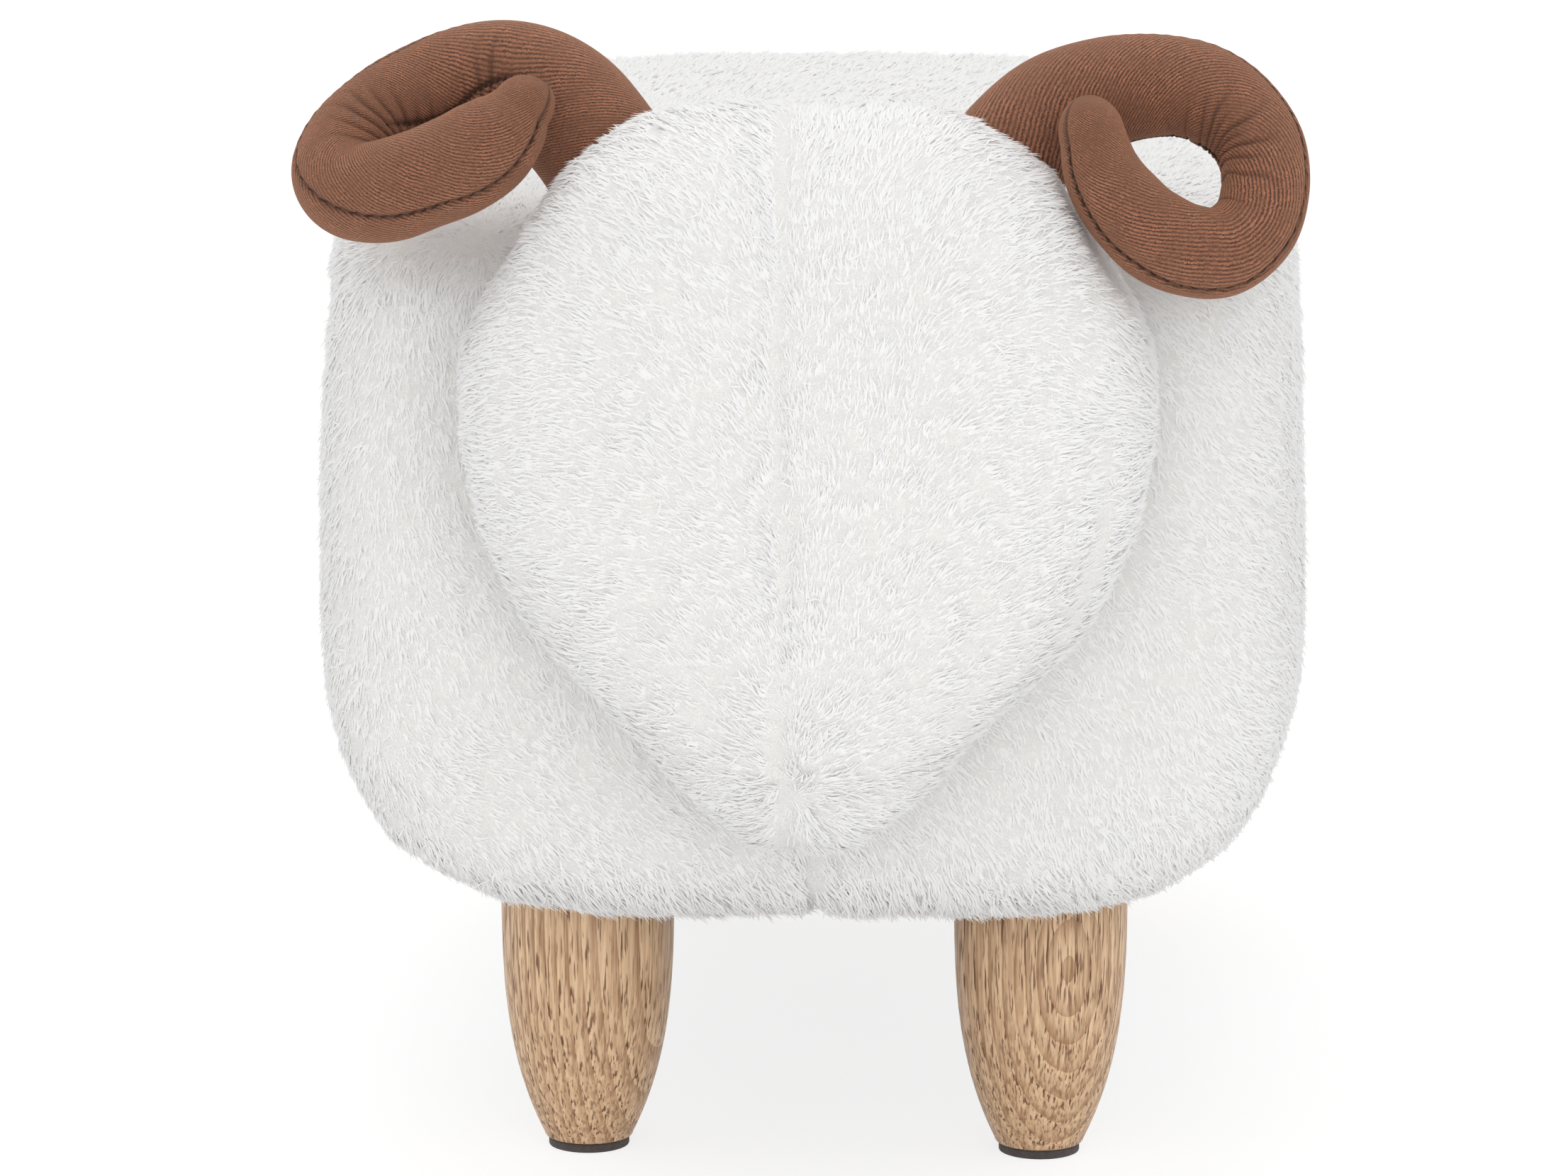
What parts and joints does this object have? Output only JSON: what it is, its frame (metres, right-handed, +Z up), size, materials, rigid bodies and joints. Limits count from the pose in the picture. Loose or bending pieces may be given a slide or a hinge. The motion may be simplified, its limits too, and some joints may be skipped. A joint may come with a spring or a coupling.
{
  "type": "animal footstool",
  "caption": "Plush sheep footstool: a padded box body in white plush with a stuffed head and curled brown horns, on turned tapered wooden legs with felt pads.",
  "frame": {"origin": "on the floor, under the middle of the whole piece", "axes": "+Z up; the animal looks along -Y, so its body runs along Y; +X is to the right as seen from the front, which is the animal's own left"},
  "size_m": [0.335, 0.642, 0.4001],
  "materials": {
    "white_plush": "matte",
    "brown_velvet": "matte",
    "pale_wood": "satin",
    "felt": "matte",
    "plywood": "matte",
    "zinc_steel": "satin",
    "foam": "matte",
    "stuffing": "matte",
    "lining_cloth": "matte"
  },
  "bodies": {
    "root": {"body_cover": "white_plush", "head_cover": "white_plush", "right_horn_cover": "brown_velvet", "left_horn_cover": "brown_velvet", "seat_foam": "foam", "front_foam": "foam", "rear_foam": "foam", "left_foam": "foam", "right_foam": "foam", "head_stuffing": "stuffing", "right_horn_stuffing": "stuffing", "left_horn_stuffing": "stuffing", "base_board": "plywood", "seat_board": "plywood", "front_panel": "plywood", "rear_panel": "plywood", "left_panel": "plywood", "right_panel": "plywood", "centre_brace": "plywood", "front_left_leg_block": "plywood", "front_right_leg_block": "plywood", "rear_left_leg_block": "plywood", "rear_right_leg_block": "plywood", "front_left_bolt": "zinc_steel", "front_right_bolt": "zinc_steel", "rear_left_bolt": "zinc_steel", "rear_right_bolt": "zinc_steel", "front_left_tee_nut": "zinc_steel", "front_right_tee_nut": "zinc_steel", "rear_left_tee_nut": "zinc_steel", "rear_right_tee_nut": "zinc_steel", "seat_screw_front_left": "zinc_steel", "seat_screw_front_right": "zinc_steel", "seat_screw_rear_left": "zinc_steel", "seat_screw_rear_right": "zinc_steel", "base_screw_front_left": "zinc_steel", "base_screw_front_right": "zinc_steel", "base_screw_rear_left": "zinc_steel", "base_screw_rear_right": "zinc_steel", "dust_cover": "lining_cloth", "front_left_leg": "pale_wood", "front_right_leg": "pale_wood", "rear_left_leg": "pale_wood", "rear_right_leg": "pale_wood", "front_left_pad": "felt", "front_right_pad": "felt", "rear_left_pad": "felt", "rear_right_pad": "felt"}
  },
  "joints": []
}
